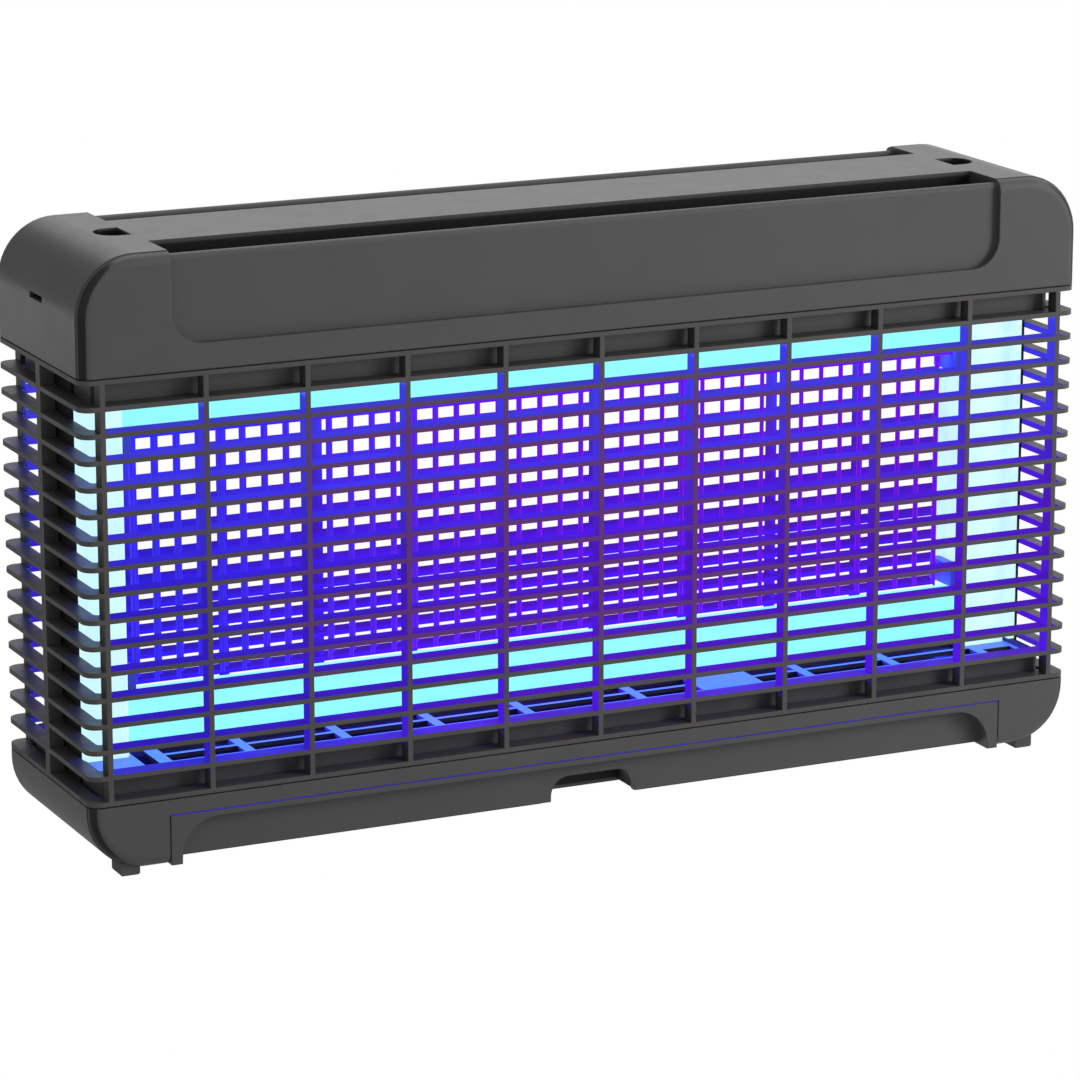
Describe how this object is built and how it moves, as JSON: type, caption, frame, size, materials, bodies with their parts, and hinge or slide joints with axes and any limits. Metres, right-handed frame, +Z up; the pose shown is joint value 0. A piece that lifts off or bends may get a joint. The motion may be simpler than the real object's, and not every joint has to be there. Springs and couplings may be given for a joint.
{
  "type": "electric bug zapper",
  "caption": "Slatted cage on a base with a pull-out tray: horizontal UV tubes above and below a high-voltage rod grid, under a housing with carry grips.",
  "frame": {"origin": "on the ground under the middle of the object", "axes": "+X along the length to the right, the front faces -Y, +Z up"},
  "size_m": [0.5, 0.11, 0.281],
  "materials": {
    "housing_plastic": "fine satin texture",
    "grille_plastic": "fine satin texture",
    "end_plate_black": "matte",
    "column_white": "smooth, lit by the tubes",
    "holder_white": "smooth",
    "tube_glass": "phosphor-coated, glowing",
    "cap_aluminium": "brushed",
    "pin_brass": "plain",
    "rod_steel": "galvanised wire",
    "insulator_white": "smooth",
    "floor_plastic": "satin",
    "foot_rubber": "matte",
    "screw_steel": "zinc plated",
    "ballast_metal": "white enamel",
    "core_steel": "laminated",
    "board_green": "circuit board",
    "capacitor_blue": "smooth",
    "terminal_white": "matte",
    "switch_black": "smooth"
  },
  "bodies": {
    "housing": {"base_screws": "screw_steel", "base_shell": "housing_plastic", "cord_inlet": "switch_black", "cover_screws": "screw_steel", "end_plate_screws": "screw_steel", "floor_grate": "floor_plastic", "front_grille": "grille_plastic", "front_left_foot": "foot_rubber", "front_right_foot": "foot_rubber", "front_rod_grid": "rod_steel", "hv_board": "board_green", "hv_capacitors": "capacitor_blue", "hv_transformer": "core_steel", "left_end_plate": "end_plate_black", "left_hanger_pin": "screw_steel", "left_lamp_column": "column_white", "lower_left_insulator": "insulator_white", "lower_left_lampholder": "holder_white", "lower_right_insulator": "insulator_white", "lower_right_lampholder": "holder_white", "rear_grille": "grille_plastic", "rear_left_foot": "foot_rubber", "rear_right_foot": "foot_rubber", "rear_rod_grid": "rod_steel", "right_end_plate": "end_plate_black", "right_hanger_pin": "screw_steel", "right_lamp_column": "column_white", "switch_bezel": "switch_black", "terminal_block": "terminal_white", "top_cover": "housing_plastic", "top_deck": "housing_plastic", "tube_ballast": "ballast_metal", "upper_left_insulator": "insulator_white", "upper_left_lampholder": "holder_white", "upper_right_insulator": "insulator_white", "upper_right_lampholder": "holder_white"},
    "tray": {"tray_front": "housing_plastic", "tray_pan": "housing_plastic"},
    "upper_tube": {"upper_tube_glass": "tube_glass", "upper_tube_caps": "cap_aluminium", "upper_tube_pins": "pin_brass"},
    "lower_tube": {"lower_tube_glass": "tube_glass", "lower_tube_caps": "cap_aluminium", "lower_tube_pins": "pin_brass"},
    "rocker": {"switch_rocker": "switch_black"}
  },
  "joints": [
    {"name": "tray_slide", "type": "slide", "parent": "housing", "child": "tray", "axis": [0, -1, 0], "range_m": [0, 0.085]},
    {"name": "upper_tube_twist", "type": "hinge", "parent": "housing", "child": "upper_tube", "pos_m": [0, 0, 0.20375], "axis": [1, 0, 0], "range_deg": [0, 90]},
    {"name": "lower_tube_twist", "type": "hinge", "parent": "housing", "child": "lower_tube", "pos_m": [0, 0, 0.05875], "axis": [1, 0, 0], "range_deg": [0, 90]},
    {"name": "rocker_tilt", "type": "hinge", "parent": "housing", "child": "rocker", "pos_m": [0.15, 0.0485, 0.246], "axis": [0, 0, 1], "range_deg": [0, 14]}
  ]
}
